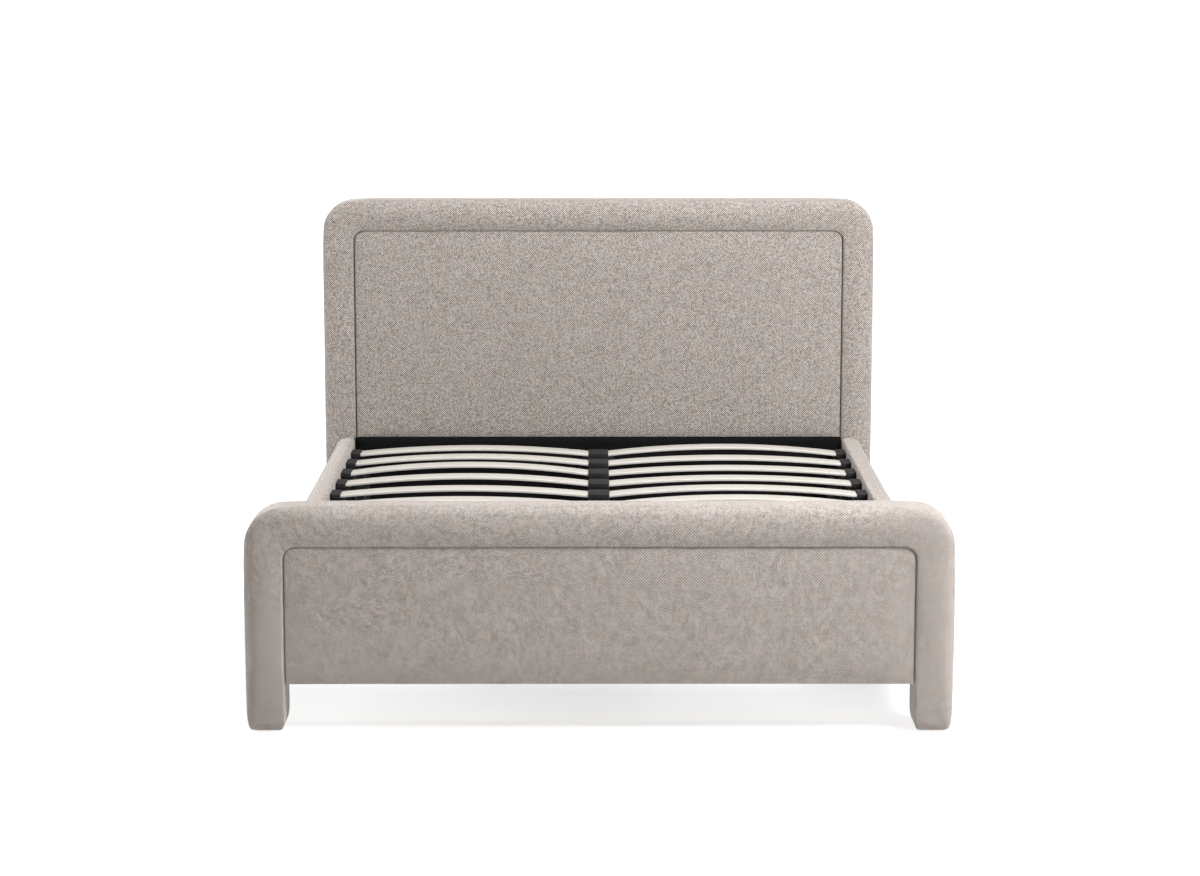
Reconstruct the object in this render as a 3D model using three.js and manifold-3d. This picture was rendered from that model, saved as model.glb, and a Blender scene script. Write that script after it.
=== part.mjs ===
// An upholstered bed: a tall headboard and a low footboard, each a padded arch around an inset panel,
// joined by two padded side rails that carry 22 sprung slats on rubber caps and a centre beam.
// Millimetres, +Z up. The origin is on the floor under the middle of the bed, +Y points to the headboard.
import * as THREE from 'three'
import { mergeVertices } from 'three/addons/utils/BufferGeometryUtils.js'
import Module from 'manifold-3d'

const wasm = await Module()
wasm.setup()

// ---------- Driving dimensions ----------

const WIDTH = 1750
const LENGTH = 2320
const HEAD_HEIGHT = 1150
const FOOT_HEIGHT = 568
const HEAD_DEPTH = 130
const FOOT_DEPTH = 135
const CLEARANCE = 122 // floor to the underside of the panels and rails
const GAP = 0.3 // air left between pieces that touch

// Padded arch
const BORDER_FACE = 98 // width of the arch seen from the front
const CORNER_RADIUS = 96
const SEAM_RADIUS = 34
const EDGE_ROUND = 45
const EDGE_STEPS = 4
const ARC_STEPS = 8

// Timber inside each end
const OUTER_FOAM = 28 // from the arch's outer side to the timber
const FRONT_FOAM = 46 // from the arch's front to the plywood
const BOARD_THICK = 12
const FRAME_WIDTH = 50
const FRAME_DEPTH = 50

// Panels and covers
const HEAD_PANEL_RECESS = 6
const FOOT_PANEL_RECESS = 3
const SHEET_THICK = 6
const REAR_RECESS = 6
const LINING_THICK = 2
const FOOT_RAIL_HEIGHT = 180
const FOOT_RAIL_BOTTOM = 150

// Side rails
const RAIL_INNER = 780 // from the centre line
const RAIL_THICK = 62
const RAIL_TOP = 387
const RAIL_OUTER_ROUND = 30
const RAIL_INNER_ROUND = 12
const RAIL_BOTTOM_ROUND = 8
const RAIL_BOARD_THICK = 24
const RAIL_BOARD_INSET = 16
const RAIL_BOARD_EDGE = 12

// Sprung slats
const ROWS = 11
const ROW_PITCH = 181
const SLAT_WIDTH = 68
const SLAT_THICK = 8
const SLAT_RISE = 21
const SLAT_INNER_END = 12
const SLAT_OUTER_END = 765
const SLAT_END_TOP = 358
const SLAT_STEPS = 12

// Slat caps, holders and what carries them
const CARRIER_TOP = 345 // top of the ledges and of the centre beam
const CAP_LENGTH = 38.5
const CAP_WIDTH = 76
const CAP_TOP = 364
const CAP_ROUND = 6
const HOLDER_HALF = 31
const WEB_WIDTH = 12
const WEB_HEIGHT = 3
const STEEL = 3
const LEDGE_HEIGHT = 42
const LEDGE_WIDTH = 40
const BEAM_WIDTH = 60
const BEAM_HEIGHT = 38
const BEAM_WALL = 2
const LEDGE_SETBACK = 10 // the ledge stops short of both ends of the bed

// Corner brackets and beam hangers
const BRACKET_FLANGE = 46
const BRACKET_BOTTOM = 165
const BRACKET_HEIGHT = 125
const HANGER_SIDE = 50
const HANGER_LIP = 24

// Centre legs, levelling feet and glides
const LEG_SIZE = 45
const LEG_BOTTOM = 26
const LEG_SPACING = 760
const LEG_HOLE_RADIUS = 5
const LEG_HOLE_DEPTH = 55
const FOOT_RADIUS = 20
const FOOT_BASE = 8
const STEM_RADIUS = 4
const STEM_TOP = 64
const GLIDE_RADIUS = 22
const GLIDE_HEIGHT = 4
const ROUND_STEPS = 24

// ---------- Worked out from them ----------

const HALF_WIDTH = WIDTH / 2
const OPENING_HALF = HALF_WIDTH - BORDER_FACE
const HEAD_FRONT = LENGTH / 2 - HEAD_DEPTH
const FOOT_FRONT = -LENGTH / 2
const FOOT_INSIDE = FOOT_FRONT + FOOT_DEPTH
const MIDDLE_Y = (HEAD_FRONT + FOOT_INSIDE) / 2
const FRAME_START = FRONT_FOAM + BOARD_THICK + GAP
const LEG_TOP = CARRIER_TOP - BEAM_HEIGHT - GAP
const FLOOR_SPARE = 100 // how far cutters and blanks reach past what they cut

// ---------- Materials ----------

function finish(color, roughness, metalness = 0) {
  return new THREE.MeshStandardMaterial({ color, roughness, metalness })
}

const fabric = finish('#a59d97', 0.95)
const lining = finish('#1b1b1b', 0.95)
const plywood = finish('#c9a878', 0.7)
const pine = finish('#d6b988', 0.75)
const birch = finish('#e6e2d7', 0.5)
const blackSteel = finish('#1a1a1a', 0.45, 0.6)
const blackRubber = finish('#202020', 0.8)
const blackPlastic = finish('#222222', 0.6)
const blackTimber = finish('#1d1b19', 0.6)

// ---------- Solids ----------

// A closed geometry as a solid that can be joined and cut.
function toSolid(geometry) {
  const bare = geometry.index ? geometry.toNonIndexed() : geometry.clone()
  bare.deleteAttribute('normal')
  bare.deleteAttribute('uv')
  const merged = mergeVertices(bare, 1e-3)
  const mesh = new wasm.Mesh({
    numProp: 3,
    vertProperties: merged.attributes.position.array,
    triVerts: new Uint32Array(merged.index.array),
  })
  return new wasm.Manifold(mesh)
}

// Such a solid as a geometry with one normal to each face.
function toGeometry(solid) {
  const mesh = solid.getMesh()
  const shared = new THREE.BufferGeometry()
  shared.setAttribute('position', new THREE.BufferAttribute(mesh.vertProperties, 3))
  shared.setIndex(new THREE.BufferAttribute(mesh.triVerts, 1))
  const geometry = shared.toNonIndexed()
  geometry.computeVertexNormals()
  return geometry
}

function cut(blank, ...cutters) {
  let solid = toSolid(blank)
  for (const cutter of cutters) solid = solid.subtract(toSolid(cutter))
  return toGeometry(solid)
}

function join(...pieces) {
  let solid = toSolid(pieces[0])
  for (const piece of pieces.slice(1)) solid = solid.add(toSolid(piece))
  return toGeometry(solid)
}

function box(low, high) {
  const geometry = new THREE.BoxGeometry(high[0] - low[0], high[1] - low[1], high[2] - low[2])
  geometry.translate((low[0] + high[0]) / 2, (low[1] + high[1]) / 2, (low[2] + high[2]) / 2)
  return geometry
}

// A shape drawn in X and Z, given a thickness along Y from yLow to yHigh, with its edges rounded.
function plate(shape, yLow, yHigh, round = 0) {
  const geometry = new THREE.ExtrudeGeometry(shape, {
    depth: yHigh - yLow - 2 * round,
    curveSegments: ARC_STEPS,
    bevelEnabled: round > 0,
    bevelThickness: round,
    bevelSize: round,
    bevelOffset: -round,
    bevelSegments: EDGE_STEPS,
  })
  geometry.rotateX(Math.PI / 2)
  geometry.translate(0, yHigh - round, 0)
  return geometry
}

// An upright outline with rounded top corners.
function archShape(halfWidth, bottom, top, radius) {
  const shape = new THREE.Shape()
  shape.moveTo(-halfWidth, bottom)
  shape.lineTo(halfWidth, bottom)
  shape.absarc(halfWidth - radius, top - radius, radius, 0, Math.PI / 2)
  shape.absarc(-halfWidth + radius, top - radius, radius, Math.PI / 2, Math.PI)
  shape.closePath()
  return shape
}

function mesh(name, geometry, material, x = 0, y = 0, z = 0) {
  const made = new THREE.Mesh(geometry, material)
  made.name = name
  made.position.set(x, y, z)
  return made
}

// ---------- Headboard and footboard ----------

// The timber frame's outline, grown by `grow` where it is used to cut its own pocket.
function framePlate(front, top, grow) {
  const outer = archShape(
    HALF_WIDTH - OUTER_FOAM + grow,
    GLIDE_HEIGHT + GAP - (grow > 0 ? FLOOR_SPARE : 0),
    top - OUTER_FOAM + grow,
    CORNER_RADIUS - OUTER_FOAM + grow,
  )
  const inner = archShape(
    HALF_WIDTH - OUTER_FOAM - FRAME_WIDTH - grow,
    -2 * FLOOR_SPARE,
    top - OUTER_FOAM - FRAME_WIDTH - grow,
    CORNER_RADIUS - OUTER_FOAM - FRAME_WIDTH - grow,
  )
  const yLow = front + FRAME_START - grow
  const yHigh = front + FRAME_START + FRAME_DEPTH + grow
  return cut(plate(outer, yLow, yHigh), plate(inner, yLow - 1, yHigh + 1))
}

// The plywood that both the arch's padding and the panel are stapled to.
function boardPlate(front, top, grow) {
  const outline = archShape(
    HALF_WIDTH - OUTER_FOAM + grow,
    CLEARANCE + 2 - grow,
    top - OUTER_FOAM + grow,
    CORNER_RADIUS - OUTER_FOAM + grow,
  )
  return plate(outline, front + FRONT_FOAM - grow, front + FRONT_FOAM + BOARD_THICK + grow)
}

// The padded arch: a rounded slab, open in the middle and at the back of its skin for the timber.
function borderGeometry(front, depth, top, ...pockets) {
  const outline = archShape(HALF_WIDTH, -FLOOR_SPARE, top, CORNER_RADIUS)
  const opening = archShape(OPENING_HALF, -2 * FLOOR_SPARE, top - BORDER_FACE, SEAM_RADIUS)
  const floor = box(
    [-WIDTH, front - FLOOR_SPARE, -2 * FLOOR_SPARE],
    [WIDTH, front + depth + FLOOR_SPARE, GLIDE_HEIGHT + GAP],
  )
  return cut(
    plate(outline, front, front + depth, EDGE_ROUND),
    plate(opening, front - 1, front + depth + 1),
    framePlate(front, top, GAP),
    boardPlate(front, top, GAP),
    floor,
    ...pockets,
  )
}

// A flat piece that fills the arch's opening from `bottom` up to its rounded top corners.
function infill(top, bottom, yLow, yHigh) {
  const shape = archShape(OPENING_HALF - GAP, bottom, top - BORDER_FACE - GAP, SEAM_RADIUS - GAP)
  return plate(shape, yLow, yHigh)
}

function glide(name, side, front, depth) {
  const disc = new THREE.CylinderGeometry(GLIDE_RADIUS, GLIDE_RADIUS, GLIDE_HEIGHT, ROUND_STEPS)
  disc.rotateX(Math.PI / 2)
  const x = side * (HALF_WIDTH - BORDER_FACE / 2)
  return mesh(name, disc, blackPlastic, x, front + depth / 2, GLIDE_HEIGHT / 2)
}

function headboard() {
  const front = HEAD_FRONT
  const inFront = front + FRONT_FOAM - GAP
  const back = front + HEAD_DEPTH - REAR_RECESS
  const half = OPENING_HALF - GAP
  const bottom = CLEARANCE + 2
  const behindLining = front + LINING_THICK
  const lowerRail = box([-half, behindLining + GAP, bottom], [half, inFront, RAIL_TOP - 1])
  const liningSheet = box([-half, front, bottom], [half, behindLining, RAIL_TOP - 1])
  const group = new THREE.Group()
  group.add(
    mesh('headboard_frame', framePlate(front, HEAD_HEIGHT, 0), pine),
    mesh('headboard_board', boardPlate(front, HEAD_HEIGHT, 0), plywood),
    mesh('headboard_lower_rail', lowerRail, pine),
    mesh('headboard_lining', liningSheet, lining),
    mesh('headboard_border', borderGeometry(front, HEAD_DEPTH, HEAD_HEIGHT), fabric),
    mesh('headboard_panel', infill(HEAD_HEIGHT, RAIL_TOP, front + HEAD_PANEL_RECESS, inFront), fabric),
    mesh('headboard_rear_cover', infill(HEAD_HEIGHT, bottom, back - SHEET_THICK, back), fabric),
    glide('headboard_glide_left', -1, front, HEAD_DEPTH),
    glide('headboard_glide_right', 1, front, HEAD_DEPTH),
  )
  return group
}

// The footboard's cross rail stands between its posts, behind the plywood.
function footRail(grow) {
  const half = HALF_WIDTH - OUTER_FOAM - FRAME_WIDTH - GAP + grow
  const yLow = FOOT_FRONT + FRAME_START - grow
  const yHigh = FOOT_INSIDE - SHEET_THICK - GAP + grow
  const top = FOOT_RAIL_BOTTOM + FOOT_RAIL_HEIGHT
  return box([-half, yLow, FOOT_RAIL_BOTTOM - grow], [half, yHigh, top + grow])
}

function footboard() {
  const front = FOOT_FRONT
  const inFront = front + FRONT_FOAM - GAP
  const innerCover = infill(FOOT_HEIGHT, CLEARANCE + 2, FOOT_INSIDE - SHEET_THICK, FOOT_INSIDE)
  const group = new THREE.Group()
  group.add(
    mesh('footboard_frame', framePlate(front, FOOT_HEIGHT, 0), pine),
    mesh('footboard_board', boardPlate(front, FOOT_HEIGHT, 0), plywood),
    mesh('footboard_lower_rail', footRail(0), pine),
    mesh('footboard_border', borderGeometry(front, FOOT_DEPTH, FOOT_HEIGHT, footRail(GAP)), fabric),
    mesh('footboard_panel', infill(FOOT_HEIGHT, CLEARANCE, front + FOOT_PANEL_RECESS, inFront), fabric),
    mesh('footboard_inner_cover', innerCover, fabric),
    glide('footboard_glide_left', -1, front, FOOT_DEPTH),
    glide('footboard_glide_right', 1, front, FOOT_DEPTH),
  )
  return group
}

// ---------- Side rails ----------

// The rail's padded section, rounded most at its outer top edge, with a slot for the board.
function railSection(side) {
  const inner = side * RAIL_INNER
  const outer = side * (RAIL_INNER + RAIL_THICK)
  const shape = new THREE.Shape()
  shape.moveTo(inner + side * RAIL_BOTTOM_ROUND, CLEARANCE)
  shape.lineTo(outer - side * RAIL_BOTTOM_ROUND, CLEARANCE)
  shape.quadraticCurveTo(outer, CLEARANCE, outer, CLEARANCE + RAIL_BOTTOM_ROUND)
  shape.lineTo(outer, RAIL_TOP - RAIL_OUTER_ROUND)
  shape.quadraticCurveTo(outer, RAIL_TOP, outer - side * RAIL_OUTER_ROUND, RAIL_TOP)
  shape.lineTo(inner + side * RAIL_INNER_ROUND, RAIL_TOP)
  shape.quadraticCurveTo(inner, RAIL_TOP, inner, RAIL_TOP - RAIL_INNER_ROUND)
  shape.lineTo(inner, CLEARANCE + RAIL_BOTTOM_ROUND)
  shape.quadraticCurveTo(inner, CLEARANCE, inner + side * RAIL_BOTTOM_ROUND, CLEARANCE)
  return shape
}

function railBoard(side, grow, yLow, yHigh) {
  const near = RAIL_INNER + RAIL_BOARD_INSET - grow
  const far = RAIL_INNER + RAIL_BOARD_INSET + RAIL_BOARD_THICK + grow
  const xs = [side * near, side * far].sort((a, b) => a - b)
  return box(
    [xs[0], yLow, CLEARANCE + RAIL_BOARD_EDGE - grow],
    [xs[1], yHigh, RAIL_TOP - RAIL_BOARD_EDGE + grow],
  )
}

// The steel angle screwed along the rail's inner face.
function ledgeGeometry(side) {
  const wall = side * (RAIL_INNER - GAP)
  const face = wall - side * STEEL
  const lip = wall - side * LEDGE_WIDTH
  const shape = new THREE.Shape()
  shape.moveTo(wall, CARRIER_TOP - LEDGE_HEIGHT)
  shape.lineTo(wall, CARRIER_TOP)
  shape.lineTo(lip, CARRIER_TOP)
  shape.lineTo(lip, CARRIER_TOP - STEEL)
  shape.lineTo(face, CARRIER_TOP - STEEL)
  shape.lineTo(face, CARRIER_TOP - LEDGE_HEIGHT)
  shape.closePath()
  return plate(shape, FOOT_INSIDE + LEDGE_SETBACK, HEAD_FRONT - LEDGE_SETBACK)
}

// An angle bracket that bolts the rail's inner face to the end of the bed at `wall`, towards `away`.
function cornerBracket(name, side, wall, away) {
  const onRail = side * (RAIL_INNER - GAP)
  const top = BRACKET_BOTTOM + BRACKET_HEIGHT
  const shape = new THREE.Shape()
  shape.moveTo(onRail, wall)
  shape.lineTo(onRail - side * BRACKET_FLANGE, wall)
  shape.lineTo(onRail - side * BRACKET_FLANGE, wall + away * STEEL)
  shape.lineTo(onRail - side * STEEL, wall + away * STEEL)
  shape.lineTo(onRail - side * STEEL, wall + away * BRACKET_FLANGE)
  shape.lineTo(onRail, wall + away * BRACKET_FLANGE)
  shape.closePath()
  const geometry = new THREE.ExtrudeGeometry(shape, { depth: top - BRACKET_BOTTOM, bevelEnabled: false })
  return mesh(name, geometry, blackSteel, 0, 0, BRACKET_BOTTOM)
}

function sideRail(side) {
  const word = side < 0 ? 'left' : 'right'
  const yLow = FOOT_INSIDE + GAP
  const yHigh = HEAD_FRONT - GAP
  const cover = cut(plate(railSection(side), yLow, yHigh), railBoard(side, GAP, yLow - 1, yHigh + 1))
  const group = new THREE.Group()
  group.add(
    mesh('rail_board_' + word, railBoard(side, 0, yLow, yHigh), pine),
    mesh('rail_cover_' + word, cover, fabric),
    mesh('slat_ledge_' + word, ledgeGeometry(side), blackSteel),
    mesh('slat_caps_' + word, capsGeometry(side), blackRubber),
    cornerBracket('head_bracket_' + word, side, yHigh, -1),
    cornerBracket('foot_bracket_' + word, side, yLow, 1),
  )
  return group
}

// ---------- Slats, caps and centre holders ----------

function rowY(row) {
  return MIDDLE_Y + ((ROWS - 1) / 2 - row) * ROW_PITCH
}

// A bowed strip about its own middle, its top at z = 0 where it ends; grown by `grow` to cut a pocket.
function slatGeometry(grow) {
  const chord = SLAT_OUTER_END - SLAT_INNER_END
  const radius = (chord * chord) / 8 / SLAT_RISE + SLAT_RISE / 2
  const half = Math.asin((chord / 2 + grow) / radius)
  const centre = -Math.sqrt(radius * radius - (chord * chord) / 4)
  const shape = new THREE.Shape()
  shape.absarc(0, centre, radius + grow, Math.PI / 2 + half, Math.PI / 2 - half, true)
  shape.absarc(0, centre, radius - SLAT_THICK - grow, Math.PI / 2 - half, Math.PI / 2 + half, false)
  shape.closePath()
  const geometry = new THREE.ExtrudeGeometry(shape, {
    depth: SLAT_WIDTH + 2 * grow,
    curveSegments: SLAT_STEPS,
    bevelEnabled: false,
  })
  geometry.rotateX(Math.PI / 2)
  geometry.translate(0, SLAT_WIDTH / 2 + grow, 0)
  return geometry
}

function slatCutter(side, row) {
  const cutter = slatGeometry(GAP)
  cutter.translate((side * (SLAT_OUTER_END + SLAT_INNER_END)) / 2, rowY(row), SLAT_END_TOP)
  return cutter
}

// Eleven rubber caps along one ledge, tied together by a thin web that lies on it.
function capsGeometry(side) {
  const outer = side * (RAIL_INNER - 2 * GAP)
  const inner = outer - side * CAP_LENGTH
  const bottom = CARRIER_TOP + GAP
  const shape = new THREE.Shape()
  shape.moveTo(inner, bottom)
  shape.lineTo(outer, bottom)
  shape.lineTo(outer, CAP_TOP - CAP_ROUND)
  shape.quadraticCurveTo(outer, CAP_TOP, outer - side * CAP_ROUND, CAP_TOP)
  shape.lineTo(inner, CAP_TOP)
  shape.closePath()
  const pieces = [webGeometry(side * (RAIL_INNER - WEB_WIDTH))]
  const pockets = []
  for (let row = 0; row < ROWS; row++) {
    pieces.push(plate(shape, rowY(row) - CAP_WIDTH / 2, rowY(row) + CAP_WIDTH / 2))
    pockets.push(slatCutter(side, row))
  }
  return cut(join(...pieces), ...pockets)
}

function webGeometry(x) {
  const bottom = CARRIER_TOP + GAP
  return box(
    [x - WEB_WIDTH / 2, rowY(ROWS - 1), bottom],
    [x + WEB_WIDTH / 2, rowY(0), bottom + WEB_HEIGHT],
  )
}

// Eleven double holders along the centre beam, each gripping the inner ends of two slats.
function holdersGeometry() {
  const pieces = [webGeometry(0)]
  const pockets = []
  for (let row = 0; row < ROWS; row++) {
    pieces.push(
      box(
        [-HOLDER_HALF, rowY(row) - CAP_WIDTH / 2, CARRIER_TOP + GAP],
        [HOLDER_HALF, rowY(row) + CAP_WIDTH / 2, CAP_TOP],
      ),
    )
    pockets.push(slatCutter(-1, row), slatCutter(1, row))
  }
  return cut(join(...pieces), ...pockets)
}

function slats() {
  const group = new THREE.Group()
  const geometry = slatGeometry(0)
  const middle = (SLAT_OUTER_END + SLAT_INNER_END) / 2
  for (let row = 0; row < ROWS; row++) {
    const number = String(row + 1).padStart(2, '0')
    group.add(
      mesh('slat_left_' + number, geometry, birch, -middle, rowY(row), SLAT_END_TOP),
      mesh('slat_right_' + number, geometry, birch, middle, rowY(row), SLAT_END_TOP),
    )
  }
  return group
}

// ---------- Centre beam, its hangers and legs ----------

// A square steel tube along the bed, open at both ends.
function beamGeometry() {
  const top = CARRIER_TOP
  const bottom = top - BEAM_HEIGHT
  const yLow = FOOT_INSIDE + STEEL + 2 * GAP
  const yHigh = HEAD_FRONT - STEEL - 2 * GAP
  const half = BEAM_WIDTH / 2
  return cut(
    box([-half, yLow, bottom], [half, yHigh, top]),
    box([BEAM_WALL - half, yLow - 1, bottom + BEAM_WALL], [half - BEAM_WALL, yHigh + 1, top - BEAM_WALL]),
  )
}

// A steel saddle screwed to one end of the bed, with a lip under the beam.
function beamHanger(name, wall, away) {
  const top = CARRIER_TOP
  const bottom = top - BEAM_HEIGHT - GAP
  const yBack = [wall, wall + away * STEEL].sort((a, b) => a - b)
  const yLip = [wall, wall + away * HANGER_LIP].sort((a, b) => a - b)
  const back = box([-HANGER_SIDE, yBack[0], bottom - STEEL], [HANGER_SIDE, yBack[1], top])
  const lip = box([-BEAM_WIDTH / 2, yLip[0], bottom - STEEL], [BEAM_WIDTH / 2, yLip[1], bottom])
  return mesh(name, join(back, lip), blackSteel)
}

function legGeometry() {
  const half = LEG_SIZE / 2
  const hole = new THREE.CylinderGeometry(LEG_HOLE_RADIUS, LEG_HOLE_RADIUS, LEG_HOLE_DEPTH, ROUND_STEPS)
  hole.rotateX(Math.PI / 2)
  hole.translate(0, 0, LEG_BOTTOM + LEG_HOLE_DEPTH / 2 - 1)
  return cut(box([-half, -half, LEG_BOTTOM], [half, half, LEG_TOP]), hole)
}

// A screw foot: a round base on a threaded stem that runs up into the leg.
function footGeometry() {
  const points = [
    new THREE.Vector2(0, 0),
    new THREE.Vector2(FOOT_RADIUS, 0),
    new THREE.Vector2(FOOT_RADIUS, FOOT_BASE / 2),
    new THREE.Vector2(FOOT_RADIUS - FOOT_BASE / 2, FOOT_BASE),
    new THREE.Vector2(STEM_RADIUS, FOOT_BASE),
    new THREE.Vector2(STEM_RADIUS, STEM_TOP),
    new THREE.Vector2(0, STEM_TOP),
  ]
  const geometry = new THREE.LatheGeometry(points, ROUND_STEPS)
  geometry.rotateX(Math.PI / 2)
  return geometry
}

function centreSupport() {
  const group = new THREE.Group()
  group.add(
    mesh('centre_beam', beamGeometry(), blackSteel),
    mesh('slat_holders', holdersGeometry(), blackRubber),
    beamHanger('beam_hanger_head', HEAD_FRONT - GAP, -1),
    beamHanger('beam_hanger_foot', FOOT_INSIDE + GAP, 1),
  )
  for (const [word, away] of [['front', -1], ['rear', 1]]) {
    const y = MIDDLE_Y + (away * LEG_SPACING) / 2
    group.add(
      mesh('centre_leg_' + word, legGeometry(), blackTimber, 0, y, 0),
      mesh('levelling_foot_' + word, footGeometry(), blackPlastic, 0, y, 0),
    )
  }
  return group
}

// ---------- The bed ----------

const bed = new THREE.Group()
bed.name = 'sleigh_bed'
bed.add(headboard(), footboard(), sideRail(-1), sideRail(1), centreSupport(), slats())

export default bed
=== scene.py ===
# %% [markdown]
# # An upholstered bed, built around its frame
# A tall headboard and a low footboard, each a padded arch around an inset panel, are joined by padded rails.
# 22 sprung slats sit on rubber caps and a centre beam. The measured solids come from the frame, so this
# lesson makes only what they can't show: soft cloth, wood grain, moulded rubber and screws.

# %% Load the frame
import math

import bmesh
import bpy
import numpy as np
from mathutils import Matrix, Vector, noise


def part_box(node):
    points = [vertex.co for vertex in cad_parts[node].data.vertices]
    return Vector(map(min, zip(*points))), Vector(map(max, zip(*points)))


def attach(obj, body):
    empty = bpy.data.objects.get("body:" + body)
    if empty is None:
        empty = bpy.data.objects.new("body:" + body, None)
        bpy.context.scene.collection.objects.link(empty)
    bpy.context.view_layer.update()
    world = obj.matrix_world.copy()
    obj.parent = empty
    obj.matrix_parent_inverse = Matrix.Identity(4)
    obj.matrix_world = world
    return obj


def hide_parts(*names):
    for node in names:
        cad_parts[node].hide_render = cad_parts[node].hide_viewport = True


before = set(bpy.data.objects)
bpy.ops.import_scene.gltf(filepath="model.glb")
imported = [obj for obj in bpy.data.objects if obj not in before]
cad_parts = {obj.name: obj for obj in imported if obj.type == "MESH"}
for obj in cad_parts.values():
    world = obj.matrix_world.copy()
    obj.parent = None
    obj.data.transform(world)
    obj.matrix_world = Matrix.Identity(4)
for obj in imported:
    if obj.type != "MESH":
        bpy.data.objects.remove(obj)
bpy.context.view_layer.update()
scene = bpy.context.scene
BODY = "bed_frame"


def put(name, data):
    """A new object in the scene, at the origin."""
    thing = bpy.data.objects.new(name, data)
    scene.collection.objects.link(thing)
    return thing


# %% [markdown]
# ## Camera
# A bed is seen best from far off with a long lens, so that the headboard doesn't look much smaller than the
# footboard. The camera stands seven metres from the footboard and looks slightly down.

# %% Camera
CAMERA_PLACE = (-0.0129, -8.036, 1.8435)
LOOK_DOWN = 0.1594    # radians
LOOK_ASIDE = -0.002
FOCAL_LENGTH = 86.06  # mm
FILM_WIDTH = 36       # mm
FARTHEST = 2000       # metres, past the end of the floor

lens = bpy.data.cameras.new("long_lens")
lens.lens = FOCAL_LENGTH
lens.sensor_width = FILM_WIDTH
lens.clip_end = FARTHEST
camera = put("camera", lens)
camera.location = CAMERA_PLACE
camera.rotation_euler = (math.pi / 2 - LOOK_DOWN, 0, LOOK_ASIDE)
scene.camera = camera
print("camera:", lens.lens, "mm")

# %% [markdown]
# ## Helpers for materials
# Colours are picked as sRGB hex values, but a shader works in linear light, so one function turns them.
# Another adds a node, sets it up and links it, which keeps each material short enough to read.


# %% Colour and node helpers
MM = 0.001
MATH = "ShaderNodeMath"
VECTOR_MATH = "ShaderNodeVectorMath"
MIX = "ShaderNodeMix"
MAP_RANGE = "ShaderNodeMapRange"
NOISE = "ShaderNodeTexNoise"
COMBINE = "ShaderNodeCombineXYZ"
BUMP = "ShaderNodeBump"
INSTANCE = "GeometryNodeInstanceOnPoints"


def linear(hex_code):
    """An sRGB hex colour as the linear RGBA that a shader socket takes."""
    shares = [int(hex_code[i:i + 2], 16) / 255 for i in (1, 3, 5)]
    return [s / 12.92 if s <= 0.04045 else ((s + 0.055) / 1.055) ** 2.4 for s in shares] + [1.0]


def feed(tree, node, inputs):
    """Sets or links a node's inputs from values, sockets, or nodes, whose first output is taken."""
    for key, value in inputs.items():
        if isinstance(value, bpy.types.Node):
            value = value.outputs[0]
        if isinstance(value, bpy.types.NodeSocket):
            tree.links.new(value, node.inputs[key])
        else:
            node.inputs[key].default_value = value


def add(tree, kind, inputs=None, **settings):
    """Adds a node with its settings and inputs."""
    node = tree.nodes.new(kind)
    for name, value in settings.items():
        setattr(node, name, value)
    feed(tree, node, inputs or {})
    return node


def start_material(name, hex_code, **sockets):
    """A material with a Principled shader, its even values set on the shader's own sockets."""
    material = bpy.data.materials.new(name)
    material.use_nodes = True
    shader = material.node_tree.nodes["Principled BSDF"]
    shader.inputs["Base Color"].default_value = linear(hex_code)
    for socket, value in sockets.items():
        shader.inputs[socket.replace("_", " ")].default_value = value
    return material, material.node_tree, shader


print("helpers ready; a mid grey is", [round(c, 3) for c in linear("#808080")])

# %% [markdown]
# ## Heather cloth
# The cover is a plain weave of thick cream and taupe yarns, each spun from mixed fibres. Every yarn passes
# over one and under one, so light and dark crossings line up on both diagonals. The tone also changes along
# each yarn every few millimetres, and that gives the salt-and-pepper look. Worked out from the thread's
# number it never repeats. It lives on a "weave" UV map in metres, which each piece gets from the flat cut of
# its cloth.

# %% Heather cloth values
THREAD = 3.5 * MM  # the real yarns are about 2 mm apart; drawn coarser, so that the weave still shows
TONE_RUN = 1.4     # a yarn keeps its tone for about this many threads
CREAM = "#c4bbb3"
TAUPE = "#3c322b"
WARP_TONES = (0.5, 1.05)   # from taupe at 0 to cream at 1
WEFT_TONES = (-0.05, 0.5)
# Painted shade at a yarn's edge and painted highlight on its crown, multiplied into the cloth's colour.
PAINTED_YARN_SHADING = (0.8, 1.06)         # brightness at a yarn's edge and on its back
YARN_RELIEF = 0.4 * MM
MOTTLE_SIZE = 45 * MM
WOVEN = "weave"    # the UV map


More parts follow.
